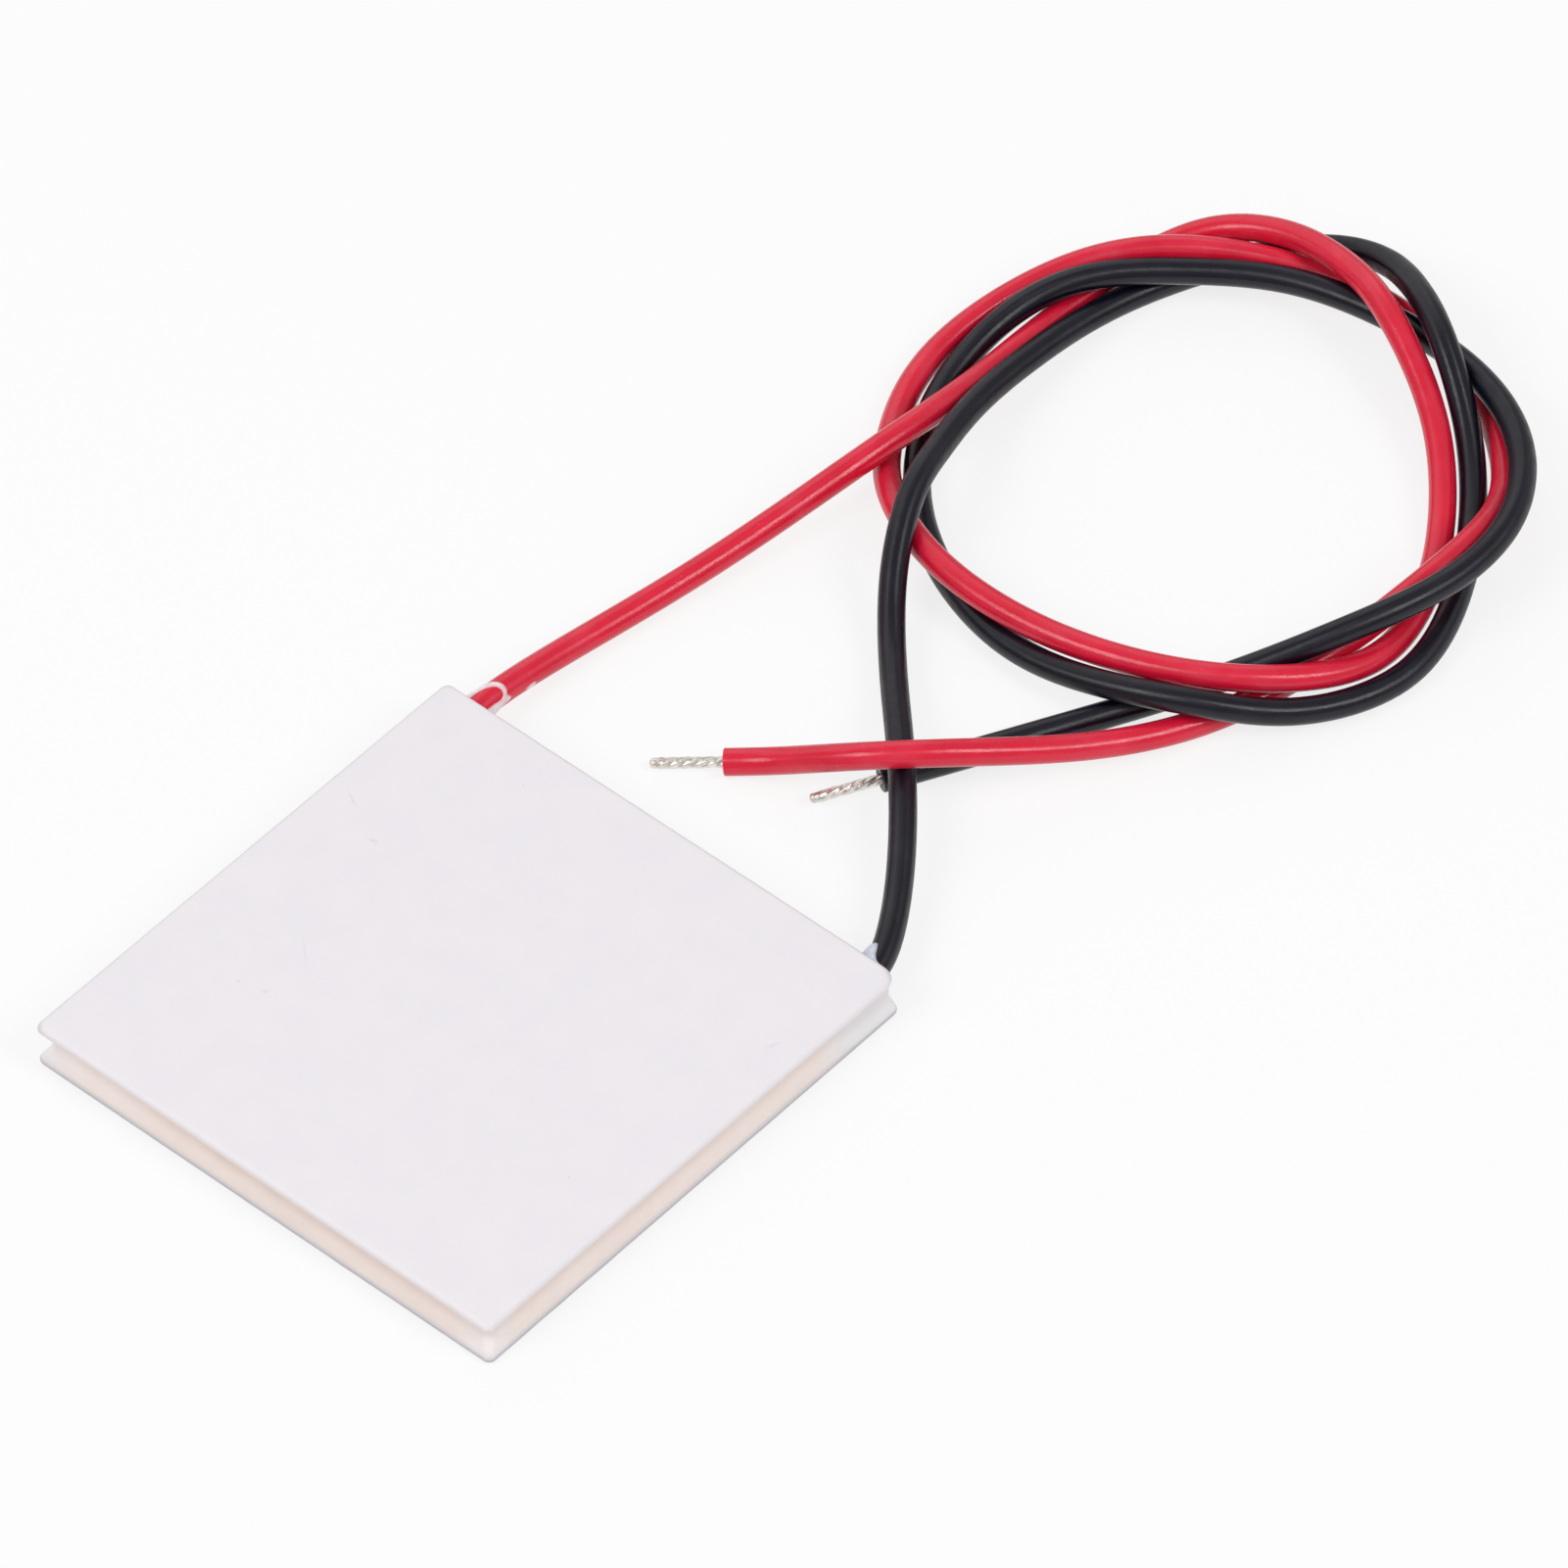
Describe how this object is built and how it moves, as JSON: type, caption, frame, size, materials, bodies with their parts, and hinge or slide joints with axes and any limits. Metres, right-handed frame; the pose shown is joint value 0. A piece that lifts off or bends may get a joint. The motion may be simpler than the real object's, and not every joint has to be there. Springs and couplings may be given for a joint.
{
  "type": "thermoelectric generator module",
  "caption": "Flat square thermoelectric generator module: white ceramic plates over an array of semiconductor legs, a sealed edge, and red and black silicone leads with tinned ends.",
  "frame": {"origin": "middle of the lower plate's outer face, where the module rests", "axes": "+Z through the plates, from the lower to the upper; +Y towards the edge that the leads leave; +X from the red lead to the black lead"},
  "size_m": [0.0474, 0.1121, 0.0061],
  "materials": {
    "ceramic": "matt sintered alumina",
    "edge_silicone": "dull cream sealant",
    "exit_silicone": "soft white sealant",
    "copper": "bare copper",
    "solder": "dull solder",
    "n_type_semiconductor": "dark grey cut crystal",
    "p_type_semiconductor": "grey cut crystal",
    "tinned_copper": "bright tin over twisted strands",
    "red_insulation": "satin silicone rubber",
    "black_insulation": "satin silicone rubber"
  },
  "bodies": {
    "root": {"lower_plate": "ceramic", "upper_plate": "ceramic", "edge_seal": "edge_silicone", "lower_tabs": "copper", "upper_tabs": "copper", "red_terminal_tab": "copper", "black_terminal_tab": "copper", "lower_solder": "solder", "upper_solder": "solder", "n_type_legs": "n_type_semiconductor", "p_type_legs": "p_type_semiconductor", "red_lead_core": "tinned_copper", "black_lead_core": "tinned_copper", "red_lead_solder": "solder", "black_lead_solder": "solder", "red_exit_seal": "exit_silicone", "black_exit_seal": "exit_silicone", "red_lead": "red_insulation", "black_lead": "black_insulation", "red_tinned_end": "tinned_copper", "black_tinned_end": "tinned_copper"}
  },
  "joints": []
}
